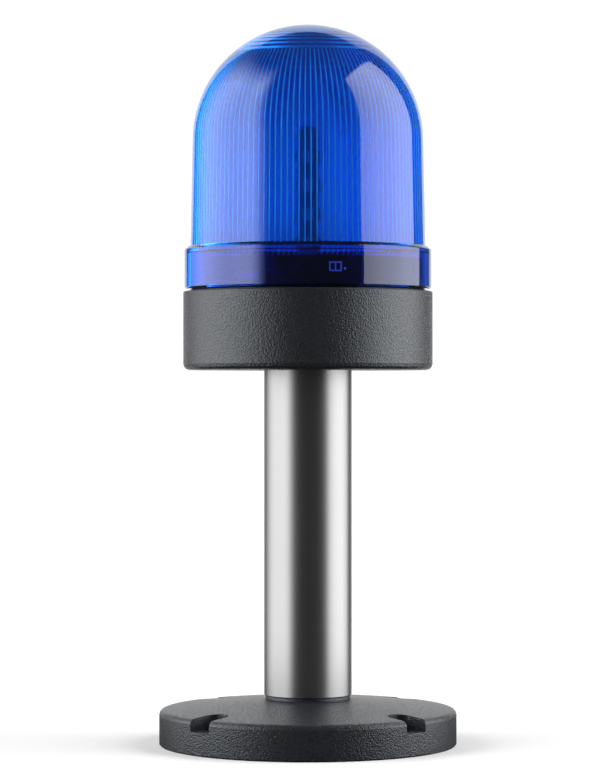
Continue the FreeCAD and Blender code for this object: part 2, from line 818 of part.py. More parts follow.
def make_capacitor():
    item = cylinder("capacitor_can", "capacitor_radius", "capacitor_height",
                    "-(capacitor_place)", "0", "board_top")
    bevel = doc.addObject("Part::Chamfer", "capacitor_bevel")
    doc.recompute()
    level = number("board_top + capacitor_height")
    top = [i + 1 for i, edge in enumerate(item.Shape.Edges)
           if min(vertex.Z for vertex in edge.Vertexes) > level - 1e-6]
    size = number("capacitor_chamfer")
    bevel.Base = item
    bevel.Edges = [(i, size, size) for i in top]
    bevel.Label = "capacitor"
    return bevel


def make_choke():
    """A wound drum: two flanges with the winding between them."""
    place_x = "choke_place"
    lower = cylinder("choke_lower", "choke_radius", "choke_flange", place_x, "0", "board_top")
    upper = cylinder("choke_upper", "choke_radius", "choke_flange", place_x, "0",
                     "board_top + choke_height - choke_flange")
    core = cylinder("choke_core", "choke_core_radius", "choke_height", place_x, "0", "board_top")
    item = fuse("choke_drum", [lower, core, upper])
    item.Label = "choke"
    return item


def make_flat_part(label, kind, side):
    """A flat moulded part on the board, with its top edges bevelled."""
    length, width, height = kind + "_length", kind + "_width", kind + "_height"
    item = block(label + "_blank", length, width, height, "%d * part_row / 2" % side, "part_row", "board_top")
    bevel = doc.addObject("Part::Chamfer", label + "_bevel")
    doc.recompute()
    level = number("board_top") + number(height)
    top = [i + 1 for i, edge in enumerate(item.Shape.Edges)
           if min(vertex.Z for vertex in edge.Vertexes) > level - 1e-6]
    bevel.Base = item
    size = number(height) / 6
    bevel.Edges = [(i, size, size) for i in top]
    bevel.Label = label
    return bevel


def make_core():
    """The square core of the light post on its foot."""
    foot = block("core_foot", "core_foot_side", "core_foot_side", "core_foot_height", "0", "0", "board_top")
    shaft = block("core_shaft", "core_side", "core_side", "core_height", "0", "0", "board_top")
    item = fuse("core_blank", [foot, shaft])
    item.Label = "led_post"
    return item


SIDES = (("front", 0, -1), ("right", 1, 0), ("back", 0, 1), ("left", -1, 0))


def make_strip(side, across, deep):
    """A narrow circuit strip flat against one side of the core."""
    offset = "(core_side + strip_thickness) / 2"
    width = "core_side" if deep else "strip_thickness"
    depth = "strip_thickness" if deep else "core_side"
    item = block("strip_" + side, width, depth, "core_height - core_foot_height - strip_gap",
                 "%d * %s" % (across, offset), "%d * %s" % (deep, offset),
                 "board_top + core_foot_height + strip_gap")
    item.Label = "led_strip_" + side
    return item


def make_leds(side, across, deep):
    """The row of light chips on one strip."""
    offset = "(core_side / 2 + strip_thickness + led_thickness / 2)"
    width = "led_width" if deep else "led_thickness"
    depth = "led_thickness" if deep else "led_width"
    solids = []
    for i in range(int(number("led_count"))):
        up = "board_top + led_lift + %d * led_pitch - led_height / 2" % i
        solids.append(block("led_%s_%d" % (side, i + 1), width, depth, "led_height",
                            "%d * %s" % (across, offset), "%d * %s" % (deep, offset), up))
    return group("leds_" + side, solids)


def make_cap():
    item = cylinder("cap_disc", "cap_radius", "cap_thickness", "0", "0", "core_top")
    item.Label = "led_cap_board"
    return item


def make_cap_led():
    item = block("cap_chip", "led_width", "led_height", "led_thickness", "0", "0", "core_top + cap_thickness")
    item.Label = "led_top"
    return item


def build_all():
    plug_screw = ("screw_head_radius", "screw_head_height", "plug_screw_radius", "plug_screw_length")
    board_screw = ("board_screw_head_radius", "board_screw_head_height",
                   "board_screw_radius", "board_thickness + board_screw_length - thread_clearance")
    parts = [
        make_foot(),
        make_tube(),
        make_plug("tube_plug_lower", "tube_base"),
        make_plug("tube_plug_upper", "tube_top - plug_length"),
        screws("foot_screws", "plug_screw_circle", "tube_base - socket_plate", plug_screw, down=False),
        screws("housing_screws", "plug_screw_circle", "plate_top", plug_screw),
        make_housing(),
        make_seal(),
        make_lens(),
        make_board(),
        screws("board_screws", "post_circle", "board_top", board_screw, phase=90.0),
        make_terminal_block(),
        make_terminal_screws(),
        make_capacitor(),
        make_choke(),
        make_flat_part("rectifier", "bridge", -1),
        make_flat_part("driver_chip", "chip", 1),
        make_core(),
        make_cap(),
        make_cap_led(),
    ]
    for side, across, deep in SIDES:
        parts.append(make_strip(side, across, deep))
        parts.append(make_leds(side, across, deep))
    return parts


def check_all(parts):
    doc.recompute()
    for item in doc.Objects:
        if "Invalid" in item.State or "Error" in item.State:
            raise RuntimeError("%s failed: %s" % (item.Name, item.State))
    for item in parts:
        shape = item.Shape
        if shape.isNull() or not shape.isValid() or not shape.Solids:
            raise RuntimeError(item.Label + " has no valid solid")
        print("%-18s solids %2d faces %4d volume %9.1f" % (
            item.Label, len(shape.Solids), len(shape.Faces), shape.Volume))


def write_all(parts):
    os.makedirs("parts", exist_ok=True)
    for item in parts:
        item.Shape.exportStep("parts/%s.step" % item.Label)


fill_sheet()
sub_parts = build_all()
check_all(sub_parts)
write_all(sub_parts)
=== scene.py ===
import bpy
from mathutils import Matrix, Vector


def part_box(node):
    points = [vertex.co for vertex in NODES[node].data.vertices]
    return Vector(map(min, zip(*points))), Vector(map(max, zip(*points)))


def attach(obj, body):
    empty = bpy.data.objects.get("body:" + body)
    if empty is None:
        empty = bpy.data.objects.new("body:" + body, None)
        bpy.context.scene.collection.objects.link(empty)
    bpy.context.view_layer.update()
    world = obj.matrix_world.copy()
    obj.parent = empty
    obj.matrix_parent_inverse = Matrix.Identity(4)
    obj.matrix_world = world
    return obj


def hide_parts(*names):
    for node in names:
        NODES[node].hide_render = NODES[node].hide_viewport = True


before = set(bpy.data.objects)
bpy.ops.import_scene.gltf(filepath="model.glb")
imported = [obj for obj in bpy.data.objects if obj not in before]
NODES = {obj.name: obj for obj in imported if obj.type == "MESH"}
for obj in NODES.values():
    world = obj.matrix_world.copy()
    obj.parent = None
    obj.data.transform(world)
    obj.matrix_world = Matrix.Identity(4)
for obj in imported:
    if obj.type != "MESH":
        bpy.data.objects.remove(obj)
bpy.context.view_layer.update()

import math

import bpy
import numpy as np
from bpy.props import FloatProperty, FloatVectorProperty, IntProperty, PointerProperty
from bpy.types import Operator, Panel, PropertyGroup

bl_info = {
    "name": "Signal beacon dressing",
    "version": (1, 0, 0),
    "blender": (4, 5, 0),
    "location": "View3D > Sidebar > Beacon",
    "description": "Lens, finishes, studio and camera for a signal beacon on a tube",
    "category": "Object",
}

MM = 0.001
FRONT = -90.0        # the front's turn about Z, in degrees


# Shader maths


class Value:
    """A shader socket that takes part in Python sums."""

    def __init__(self, web, output):
        self.web = web
        self.output = output

    def __add__(self, other):
        return self.web.maths("ADD", self, other)

    def __radd__(self, other):
        return self.web.maths("ADD", other, self)

    def __sub__(self, other):
        return self.web.maths("SUBTRACT", self, other)

    def __rsub__(self, other):
        return self.web.maths("SUBTRACT", other, self)

    def __mul__(self, other):
        return self.web.maths("MULTIPLY", self, other)

    def __rmul__(self, other):
        return self.web.maths("MULTIPLY", other, self)

    def __neg__(self):
        return self.web.maths("MULTIPLY", self, -1.0)

    def __abs__(self):
        return self.web.maths("ABSOLUTE", self)


class Web:
    """The node tree of one material or of the world."""

    def __init__(self, tree):
        self.tree = tree
        tree.nodes.clear()

    def node(self, kind, settings=None, values=None, output=0):
        """One node: its settings first, then the values or links of its sockets."""
        made = self.tree.nodes.new(kind)
        for name, setting in (settings or {}).items():
            setattr(made, name, setting)
        for key, value in (values or {}).items():
            self.feed(made.inputs[key], value)
        return Value(self, made.outputs[output]) if made.outputs else None

    def feed(self, socket, value):
        """Link a value to a socket, or set the number or colour that the socket holds."""
        if isinstance(value, Value):
            self.tree.links.new(value.output, socket)
        elif socket.type == "RGBA":
            socket.default_value = (*value, 1.0)
        else:
            socket.default_value = value

    def maths(self, operation, *values):
        """One Math node on numbers or sockets."""
        return self.node("ShaderNodeMath", {"operation": operation}, dict(enumerate(values)))

    def mix(self, factor, first, second):
        """A colour between two colours, which are the node's sockets 6 and 7 and its output 2."""
        return self.node("ShaderNodeMix", {"data_type": "RGBA"}, {0: factor, 6: first, 7: second}, output=2)

    def step(self, value, low, high):
        """0 below low and 1 above high, with a soft rise between."""
        values = {"Value": value, "From Min": low, "From Max": high}
        return self.node("ShaderNodeMapRange", {"interpolation_type": "SMOOTHSTEP"}, values)

    def fade(self, value, low, high):
        """1 below low and 0 above high, with a soft fall between."""
        return 1.0 - self.step(value, low, high)

    def change(self, value, low, high, before, after):
        """One number below low and another above high, with a soft change between."""
        return before + (after - before) * self.step(value, low, high)

    def parts(self, vector):
        """The three parts of a vector."""
        split = self.node("ShaderNodeSeparateXYZ", None, {0: vector})
        return [Value(self, output) for output in split.output.node.outputs]

    def place(self, scale=(1.0, 1.0, 1.0)):
        """Object coordinates, stretched along the axes."""
        spot = self.node("ShaderNodeTexCoord", output="Object")
        return self.node("ShaderNodeMapping", None, {"Vector": spot, "Scale": scale})

    def attribute(self, name):
        """The number that the mesh itself holds under a name."""
        return self.node("ShaderNodeAttribute", {"attribute_name": name}, output="Fac")

    def ray(self, kind):
        """1 for rays of one kind, such as Camera, and 0 for others."""
        return self.node("ShaderNodeLightPath", output=f"Is {kind} Ray")

    def noise(self, spot, scale, detail=2.0, rough=0.5):
        """Soft random clouds between 0 and 1, as many a metre as the scale says."""
        values = {"Vector": spot, "Scale": scale, "Detail": detail, "Roughness": rough}
        return self.node("ShaderNodeTexNoise", None, values)

    def pebbles(self, spot, scale, smoothness=0.35):
        """Round grains: 0 between them and rising to 1 at their tops."""
        values = {"Vector": spot, "Scale": scale, "Smoothness": smoothness}
        return 1.0 - self.node("ShaderNodeTexVoronoi", {"feature": "SMOOTH_F1"}, values)

    def bump(self, height, distance, strength=1.0):
        """A normal that leans as if the surface rose by the distance where the height is 1."""
        values = {"Height": height, "Distance": distance, "Strength": strength}
        return self.node("ShaderNodeBump", None, values)

    def finish(self, **values):
        """The surface shader, wired to the output. Names are the socket names in lower case."""
        named = {}
        for name, value in values.items():
            named[name.replace("_", " ").title().replace("Ior", "IOR")] = value
        shader = self.node("ShaderNodeBsdfPrincipled", None, named)
        self.node("ShaderNodeOutputMaterial", None, {"Surface": shader})


def shade(colour, share):
    """A colour times one number: darker below 1 and paler above it."""
    return tuple(share * part for part in colour)


def new_material(name, build, settings=None):
    """A node material made by one build function."""
    material = bpy.data.materials.new(name)
    material.use_nodes = True
    build(Web(material.node_tree), settings)
    return material


def paint(node_names, material):
    """Give CAD nodes a finish, through their objects' material slots."""
    for name in node_names:
        for slot in NODES[name].material_slots:
            slot.material = material


# Meshes


def new_piece(name, points, faces, material, body):
    """A mesh object at the origin, with its place in its points, that rides on a body."""
    mesh = bpy.data.meshes.new(name)
    mesh.from_pydata(points.tolist(), [], faces)
    mesh.validate()
    mesh.update()
    piece = bpy.data.objects.new(name, mesh)
    bpy.context.scene.collection.objects.link(piece)
    mesh.materials.append(material)
    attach(piece, body)
    return piece


def smooth(piece, sharp_angle):
    """Smooth shading, apart from edges that turn by more than an angle in degrees."""
    mesh = piece.data
    mesh.shade_smooth()
    mesh.set_sharp_from_angle(angle=math.radians(sharp_angle))


def arc(centre, radius, start, stop, steps):
    """Points (radius, height) along a circular arc, with its ends.

    Each is the centre plus the arc's radius times the cosine and sine of an angle, which goes
    from start to stop in even steps, in degrees.
    """
    turn = np.radians(np.linspace(start, stop, steps + 1))
    return np.stack([centre[0] + radius * np.cos(turn), centre[1] + radius * np.sin(turn)], axis=1)


def line(start, stop, steps):
    """Points along a straight line, without its ends: the start plus even shares of the way."""
    share = np.linspace(0.0, 1.0, steps + 1)[1:-1, None]
    return np.array(start) + share * (np.array(stop) - np.array(start))


def wall(start, stop, margin):
    """A straight run of four points: its ends, and a point at a margin from each.

    Smooth shading then bends only within the margins.
    """
    start, stop = np.array(start), np.array(stop)
    inset = (stop - start) * margin / np.linalg.norm(stop - start)
    return np.array([start, start + inset, stop - inset, stop])


def turned_between_poles(radii, heights, turn):
    """Points and faces of a closed surface whose path starts and ends on the axis.

    radii is a grid of rows by columns, heights has one value a row and turn one angle a
    column. Point (i, j) lies at radius radii[i, j], turn[j] and heights[i]. The first and
    last rows are poles, each one point, closed by triangles.
    """
    rows, columns = radii.shape
    ring_radii = radii[1:-1]
    ring_points = np.stack([
        ring_radii * np.cos(turn),
        ring_radii * np.sin(turn),
        np.repeat(heights[1:-1, None], columns, axis=1),
    ], axis=-1).reshape(-1, 3)
    poles = np.array([[0.0, 0.0, heights[0]], [0.0, 0.0, heights[-1]]])
    points = np.concatenate([poles, ring_points])
    index = 2 + np.arange((rows - 2) * columns).reshape(rows - 2, columns)
    beside = np.roll(index, -1, axis=1)
    quads = np.stack([index[:-1], index[1:], beside[1:], beside[:-1]], axis=-1).reshape(-1, 4)
    first_fan = np.stack([np.zeros(columns, int), index[0], beside[0]], axis=-1)
    last_fan = np.stack([np.ones(columns, int), beside[-1], index[-1]], axis=-1)
    return points, quads.tolist() + first_fan.tolist() + last_fan.tolist()


def arc_bar(section, start, stop, columns):
    """Points and faces of a bar bent round the Z axis, closed by flat ends.

    section is a loop of (radius, height) points, anticlockwise with the radius to the right.
    Point (i, j) is section point j at the turn i / columns of the way from start to stop,
    in degrees.
    """
    turn = np.radians(np.linspace(start, stop, columns + 1))[:, None]
    radius = section[None, :, 0]
    height = np.broadcast_to(section[None, :, 1], (columns + 1, len(section)))
    points = np.stack([radius * np.cos(turn), radius * np.sin(turn), height], axis=-1).reshape(-1, 3)
    count = len(section)
    index = np.arange((columns + 1) * count).reshape(columns + 1, count)
    beside = np.roll(index, -1, axis=1)
    quads = np.stack([index[:-1], index[1:], beside[1:], beside[:-1]], axis=-1).reshape(-1, 4)
    return points, quads.tolist() + [index[0].tolist(), index[-1][::-1].tolist()]


def block_section(inner, outer, low, high, soft):
    """A loop of (radius, height) points round a rectangle whose corners are cut back by soft."""
    return np.array([
        (inner + soft, low), (outer - soft, low), (outer, low + soft), (outer, high - soft),
        (outer - soft, high), (inner + soft, high), (inner, high - soft), (inner, low + soft),
    ])


def join(shapes):
    """One set of points and faces from several."""
    points = []
    faces = []
    base = 0
    for some_points, some_faces in shapes:
        points.append(some_points)
        faces.extend([[base + corner for corner in face] for face in some_faces])
        base += len(some_points)
    return np.concatenate(points), faces


# Sizes and colours


class LensSettings(PropertyGroup):
    """Form and tint of the lens. Lengths are in metres."""

    flutes: IntProperty(name="Flutes", description="Vertical flutes inside the lens", default=120, min=24)
    ridge: FloatProperty(name="Ridge", description="Share of a flute that its ridge takes",
                         subtype="FACTOR", default=0.34, min=0.05, max=0.9)
    flute_depth: FloatProperty(name="Flute depth", description="How far a ridge stands inwards",
                               unit="LENGTH", default=0.29 * MM, precision=5)
    wall: FloatProperty(name="Wall", description="Thickness of the dome",
                        unit="LENGTH", default=1.9 * MM)
    collar_wall: FloatProperty(name="Collar wall", description="Thickness of the collar",
                               unit="LENGTH", default=1.8 * MM)
    dome_radius: FloatProperty(name="Dome radius", description="Radius of the round top",
                               unit="LENGTH", default=32.9 * MM)
    draft: FloatProperty(name="Draft", description="How much wider the dome is at its foot",
                         unit="LENGTH", default=0.6 * MM)
    collar_height: FloatProperty(name="Collar height", description="Straight height of the collar",
                                 unit="LENGTH", default=11.4 * MM)
    shoulder: FloatProperty(name="Shoulder", description="Height of the step above the collar",
                            unit="LENGTH", default=0.8 * MM)
    crown: FloatProperty(name="Crown", description="Radius of the zone of rings in the top",
                         unit="LENGTH", default=20.7 * MM)
    rings: IntProperty(name="Rings", description="Ring-shaped ridges in the crown", default=5, min=1)
    ring_pitch: FloatProperty(name="Ring pitch", description="Distance from ring to ring",
                              unit="LENGTH", default=1.66 * MM, precision=5)
    ring_width: FloatProperty(name="Ring width", description="Width of one ring's ridge",
                              unit="LENGTH", default=0.90 * MM, precision=5)
    ring_depth: FloatProperty(name="Ring depth", description="Height of one ring's ridge",
                              unit="LENGTH", default=0.42 * MM, precision=5)
    haze: FloatProperty(name="Haze", description="Roughness of the fluted side",
                        subtype="FACTOR", default=0.11, min=0.0, max=1.0)
    satin: FloatProperty(name="Satin", description="Roughness added on the ridges' crests",
                         subtype="FACTOR", default=0.20, min=0.0, max=0.8)
    glint: FloatProperty(name="Glint", description="How mirror-like the ridges' crests are",
                         subtype="FACTOR", default=0.40, min=0.0, max=1.0)
    # Painted glint: the crests' pale tint stands in for light that the ridges gather from the side panels.
    crest_glint_tint: FloatVectorProperty(name="Crest tint", description="Colour of the thin crests",
                                    subtype="COLOR", default=(0.80, 0.96, 1.0), min=0.0, max=1.0)
    tint: FloatVectorProperty(name="Tint", description="Colour of the clear plastic",
                              subtype="COLOR", default=(0.012, 0.215, 0.80), min=0.0, max=1.0)
    crown_tint: FloatVectorProperty(name="Crown tint", description="Colour where the flutes run together",
                                    subtype="COLOR", default=(0.008, 0.062, 0.40), min=0.0, max=1.0)
    collar_tint: FloatVectorProperty(name="Collar tint", description="Colour of the thick collar",
                                     subtype="COLOR", default=(0.007, 0.105, 0.70), min=0.0, max=1.0)


class PlasticSettings(PropertyGroup):
    """Colour and grain of the black mouldings."""

    black: FloatVectorProperty(name="Black moulding", description="Housing and foot",
                               subtype="COLOR", default=(0.0085, 0.0095, 0.0115), min=0.0, max=1.0)
    grain: FloatProperty(name="Grain size", description="Width of one grain of the textured finish",
                         unit="LENGTH", default=0.46 * MM, precision=5)
    grain_depth: FloatProperty(name="Grain depth", description="Depth of the textured finish",
                               unit="LENGTH", default=0.09 * MM, precision=5)


class MetalSettings(PropertyGroup):
    """Finish of the tube."""

    steel: FloatVectorProperty(name="Steel", description="Colour of the tube",
                               subtype="COLOR", default=(0.225, 0.225, 0.227), min=0.0, max=1.0)
    blur: FloatProperty(name="Blur", description="Roughness of the satin finish",
                        subtype="FACTOR", default=0.32, min=0.0, max=1.0)


class StageSettings(PropertyGroup):
    """Camera and light."""

    distance: FloatProperty(name="Distance", description="Camera to the tube's axis",
                            unit="LENGTH", default=0.85)
    eye: FloatProperty(name="Eye height", description="Camera above the floor",
                       unit="LENGTH", default=0.1017)
    focal: FloatProperty(name="Focal length", description="Camera lens, in millimetres",
                         unit="CAMERA", default=137.7)
    panel: FloatProperty(name="Side panels", description="Brightness of the two soft panels", default=4.2)
    backdrop: FloatProperty(name="Backdrop", description="Brightness of the white behind", default=1.0)
    gap: FloatProperty(name="Dark gaps", description="Brightness between the lights", default=0.085)


# Finishes


def lens_finish(web, settings):
    """Clear tinted plastic, glossy outside. A faint unevenness of the moulding breaks the gloss.

    The mesh's own attribute inside is 1 on the fluted side, which is a little less polished,
    and crest is 1 on the ridges. Their satin crests have a pale tint and a share of metal. This
    is a painted glint that stands in for the light the ridges gather by refraction, though it
    still reflects the lamps. The tint is deeper in the crown, where the flutes run together,
    and in the thick collar.
    """
    low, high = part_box("lens")
    crown_start, crown_full = high.z - 42.8 * MM, high.z - 9.8 * MM
    collar_top = low.z + settings.collar_height
    flow = web.noise(web.place((1.0, 1.0, 0.35)), 60.0)
    height = web.parts(web.place())[2]
    crown = web.step(height, crown_start, crown_full)
    collar = web.fade(height, collar_top - 0.7 * MM, collar_top + 0.3 * MM)
    crest = web.attribute("crest")
    inside = web.attribute("inside")
    plastic = web.mix(flow, settings.tint, shade(settings.tint, 0.92))
    plastic = web.mix(crown * inside, plastic, settings.crown_tint)
    plastic = web.mix(collar, plastic, settings.collar_tint)
    web.finish(
        # Painted glint: the pale tint and the metallic share on the crests stand in for light that the
        # ridges gather.
        base_color=web.mix(crest, plastic, settings.crest_glint_tint),
        metallic=settings.glint * crest,
        roughness=0.010 + 0.012 * flow + settings.haze * inside + settings.satin * crest,
        ior=1.49,
        transmission_weight=1.0,
    )


def mark_finish(web, settings):
    """The raised mark, a slightly frosted deep blue."""
    flow = web.noise(web.place(), 300.0)
    web.finish(
        base_color=web.mix(flow, (0.022, 0.085, 0.80), (0.018, 0.070, 0.66)),
        roughness=0.45 + 0.10 * flow,
        ior=1.49,
        specular_ior_level=0.2,
        transmission_weight=0.2,
    )


def black_grain_finish(web, settings):
    """Pebbled black moulding: round grains with shinier tops, paler there from wear and painted sheen."""
    spot = web.place()
    pebble = web.pebbles(spot, 1.0 / settings.grain)
    swell = web.noise(spot, 0.85 / settings.grain)
    top = web.step(pebble + 0.3 * swell, 0.55, 0.95)
    # Paler grain tops: partly wear, partly a painted sheen where the grains catch the light.
    wear_and_sheen = shade(settings.black, 4.5)
    web.finish(
        base_color=web.mix(top, settings.black, wear_and_sheen),
        roughness=0.43 - 0.21 * top,
        specular_ior_level=0.56,
        specular_tint=(0.90, 0.95, 1.0),
        normal=web.bump(pebble + 1.1 * swell, settings.grain_depth),
    )


def steel_finish(web, settings):
    """Satin steel tube: very fine brushing along its length, with a soft cloudy polish over it."""
    brush = web.noise(web.place((1.0, 1.0, 0.012)), 9000.0, rough=0.6)
    cloud = web.noise(web.place((1.0, 1.0, 0.5)), 70.0, detail=3.0)
    web.finish(
        base_color=web.mix(0.35 * brush, settings.steel, shade(settings.steel, 0.9)),
        metallic=1.0,
        roughness=settings.blur - 0.03 + 0.04 * cloud + 0.03 * brush,
        normal=web.bump(brush, 0.002 * MM, strength=0.3),
    )


def screw_finish(web, settings):
    """Zinc-plated screws with fine turning marks."""
    marks = web.noise(web.place((1.0, 1.0, 6.0)), 900.0)
    web.finish(
        base_color=web.mix(marks, (0.62, 0.63, 0.66), (0.50, 0.51, 0.55)),
        metallic=1.0,
        roughness=0.26 + 0.12 * marks,
    )


def moulded(colour, rough, grain=700.0, depth=0.02 * MM):
    """A build function for a plain moulding of one colour with a fine skin."""
    def build(web, settings):
        skin = web.noise(web.place(), grain)
        web.finish(
            base_color=web.mix(skin, colour, shade(colour, 0.8)),
            roughness=rough - 0.05 + 0.1 * skin,
            normal=web.bump(skin, depth, strength=0.4),
        )
    return build


def board_finish(colour):
    """A build function for a lacquered circuit board with a faint weave under the lacquer."""
    def build(web, settings):
        threads = {"Vector": web.place(), "Scale": 620.0, "Distortion": 0.6}
        weave = web.node("ShaderNodeTexWave", {"bands_direction": "X"}, threads)
        weave = weave * web.node("ShaderNodeTexWave", {"bands_direction": "Y"}, threads)
        web.finish(
            base_color=web.mix(0.6 * weave, colour, shade(colour, 1.5)),
            roughness=0.28 + 0.1 * weave,
            coat_weight=0.4,
            coat_roughness=0.12,
        )
    return build


def chip_light_finish(web, settings):
    """Light chips: a pale cover with a soft sheen."""
    cloud = web.noise(web.place(), 500.0)
    web.finish(
        base_color=web.mix(cloud, (0.86, 0.86, 0.80), (0.92, 0.92, 0.86)),
        roughness=0.35 + 0.1 * cloud,
        coat_weight=0.3,
    )


# Pieces


def lens_path(settings):
    """The lens's path from its top outside, down, round the collar's lip and up the inside.

    It is made of straight runs, with small arcs or bevels between them, and of the arcs of the
    dome and its hollow, both about the point on the axis where the wall starts to curve. Gives
    rows of (radius, height), how much of the flutes' depth each row has, which rows lie on the
    crest of a ring, and which on the fluted side.
    """
    low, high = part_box("lens")
    base = low.z
    collar = 0.5 * (high.x - low.x)
    dome = settings.dome_radius
    spring = high.z - dome
    collar_top = base + settings.collar_height
    foot = collar_top + settings.shoulder
    foot_radius = dome + settings.draft
    margin = 0.12 * MM
    crease = 0.1 * MM            # between the ends of two runs that meet in a corner
    shelf = 0.5 * MM             # flat part of the shoulder, outside the dome's foot
    shelf_edge = 0.3 * MM
    collar_edge = 0.4 * MM
    bevel = 0.5 * MM
    shelf_rim = foot_radius + shelf
    outside = np.concatenate([
        arc((0.0, spring), dome, 90.0, 0.0, steps=21),
        wall((dome, spring), (foot_radius, foot), margin)[1:],
        wall((foot_radius + crease, foot), (shelf_rim, foot), margin)[:-1],
        arc((shelf_rim, foot - shelf_edge), shelf_edge, 90.0, 45.0, steps=2),
        arc((collar - collar_edge, collar_top - collar_edge), collar_edge, 45.0, 0.0, steps=3),
        wall((collar, collar_top - collar_edge), (collar, base + bevel), margin)[1:],
        wall((collar, base + bevel), (collar - bevel, base), margin)[1:],
    ])
    mouth = collar - settings.collar_wall
    roof = foot - settings.wall
    roof_bevel = 0.3 * MM
    hollow_foot = foot_radius - settings.wall
    lip = np.concatenate([
        wall((collar - bevel - crease, base), (mouth + crease, base), margin),
        wall((mouth, base + crease), (mouth, roof - roof_bevel), margin),
        wall((mouth - roof_bevel, roof), (hollow_foot + crease, roof), margin),
    ])
    hollow = dome - settings.wall
    crown_tilt = math.degrees(math.acos(settings.crown / hollow))
    flute_start = 0.85 * MM      # the band below it is plain
    plain_band = [(hollow_foot, roof + rise) for rise in (0.02 * MM, 0.6 * MM, flute_start)]
    fluted = np.concatenate([
        plain_band,
        line(plain_band[-1], (hollow, spring), steps=2),
        arc((0.0, spring), hollow, 0.0, crown_tilt, steps=14),
    ])
    rings, on_crest = crown_rings(settings, hollow, spring)
    path = np.concatenate([outside, lip, fluted, rings])
    first = len(outside) + len(lip)
    last = first + len(fluted)
    depth = np.zeros(len(path))
    depth[first + len(plain_band) - 1:last] = 1.0
    fluted_side = 1.0 * (np.arange(len(path)) > first)
    return path, depth, np.append(np.zeros(last), on_crest), fluted_side


def crown_rings(settings, hollow, spring):
    """Ring-shaped ridges round the top of the hollow, then its smooth cap up to the axis.

    A ridge is a wedge that hangs from the hollow's ball: its height is the ball's, less the
    ring's depth times one less the distance from its middle, in half widths. Gives rows of
    (radius, height), and which rows lie on a crest.
    """
    half = 0.5 * settings.ring_width
    across = np.array([1.0, 0.9, 0.08, -0.08, -0.9, -1.0])
    on_crest = np.abs(across) < 0.95
    bulge = 1.0 - np.abs(across)
    rows = []
    for i in range(settings.rings):
        span = settings.crown - (i + 0.5) * settings.ring_pitch + half * across
        height = spring + np.sqrt(hollow ** 2 - span ** 2) - settings.ring_depth * bulge
        rows.append(np.stack([span, height], axis=1))
    cap = settings.crown - settings.rings * settings.ring_pitch
    overlap = 1.0        # degrees, by which the cap's first row reaches into the rings' zone
    cap_tilt = math.degrees(math.acos(cap / hollow)) - overlap
    rows.append(arc((0.0, spring), hollow, cap_tilt, 90.0, steps=9))
    crest = np.append(np.tile(on_crest, settings.rings), np.zeros(len(rows[-1])))
    return np.concatenate(rows), crest


def flute_columns(settings):
    """The turn of each mesh column, and how far it stands on a flute's ridge, from 0 to 1.

    A flute is a plain land with a narrow ridge in its middle. The ridge is half an ellipse:
    the square root of one less the square of the distance from its middle.
    """
    across = np.array([-1.0, -0.85, -0.3, 0.3, 0.85, 1.0])
    places = np.append(0.5 + 0.5 * settings.ridge * across, 1.0)
    ridge = np.append(np.sqrt(1.0 - across ** 2), 0.0)
    flute = np.arange(settings.flutes)[:, None]
    turn = 2.0 * np.pi * (flute + places) / settings.flutes
    return turn.reshape(-1), np.tile(ridge, settings.flutes)


def bayonet_lugs(collar, settings):
    """Three lugs inside the collar, each a bar bent round the axis, a third of a turn apart."""
    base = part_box("lens")[0].z
    mouth = collar - settings.collar_wall
    reach, sunk = 1.7 * MM, 0.02 * MM
    low, high = base + 2.1 * MM, base + 4.0 * MM
    section = block_section(mouth - reach, mouth + sunk, low, high, soft=0.3 * MM)
    half_turn = 7.0
    return [arc_bar(section, turn - half_turn, turn + half_turn, 10) for turn in (0.0, 120.0, 240.0)]


def build_lens(settings, material):
    """Collar and dome as one closed surface of turn, fluted inside, with three lugs.

    Inside, the radius is the path's radius less the ridges' height, which shrinks with the
    radius as the flutes run together over the dome.
    """
    path, depth, ring_crest, fluted_side = lens_path(settings)
    turn, ridge = flute_columns(settings)
    collar = path[:, 0].max()
    taper = path[:, 0] / collar
    radii = path[:, :1] - settings.flute_depth * (depth * taper)[:, None] * ridge
    shell = turned_between_poles(radii, path[:, 1], turn)
    points, faces = join([shell] + bayonet_lugs(collar, settings))
    piece = new_piece("fluted_lens", points, faces, material, "lens")
    crest = np.maximum(depth[:, None] * (ridge > 0.1), ring_crest[:, None])
    inside = np.repeat(fluted_side[:, None], len(turn), axis=1)
    for name, share in (("crest", crest), ("inside", inside)):
        held = np.zeros(len(points))
        held[2:2 + share[1:-1].size] = share[1:-1].reshape(-1)        # after the two poles
        piece.data.attributes.new(name, "FLOAT", "POINT").data.foreach_set("value", held)
    smooth(piece, sharp_angle=40.0)
    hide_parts("lens")


def lock_mark():
    """Points and faces of the raised mark on the collar: a frame with a divider, and a dot.

    Each bar follows the collar between two turns, in degrees, and two heights.
    """
    low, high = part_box("lens")
    collar = 0.5 * (high.x - low.x)
    sunk, raised = 0.05 * MM, 0.12 * MM
    middle = low.z + 5.2 * MM
    centre = FRONT + 12.4
    half_height, half_turn = 1.35 * MM, 2.9
    stroke = 0.42 * MM
    stroke_turn = math.degrees(stroke / collar)
    bottom, top = middle - half_height, middle + half_height
    left, right = centre - half_turn, centre + half_turn
    divider = centre - 0.4

    def bar(turn_low, turn_high, up_low, up_high):
        section = block_section(collar - sunk, collar + raised, up_low, up_high, soft=0.06 * MM)
        return arc_bar(section, turn_low, turn_high, 6)

    return join([
        bar(left, right, bottom, bottom + stroke),
        bar(left, right, top - stroke, top),
        bar(left, left + stroke_turn, bottom + stroke, top - stroke),
        bar(right - stroke_turn, right, bottom + stroke, top - stroke),
        bar(divider, divider + stroke_turn, bottom + stroke, top - stroke),
        bar(right + 1.0, right + 1.9, middle - 0.9 * MM, middle - 0.2 * MM),
    ])


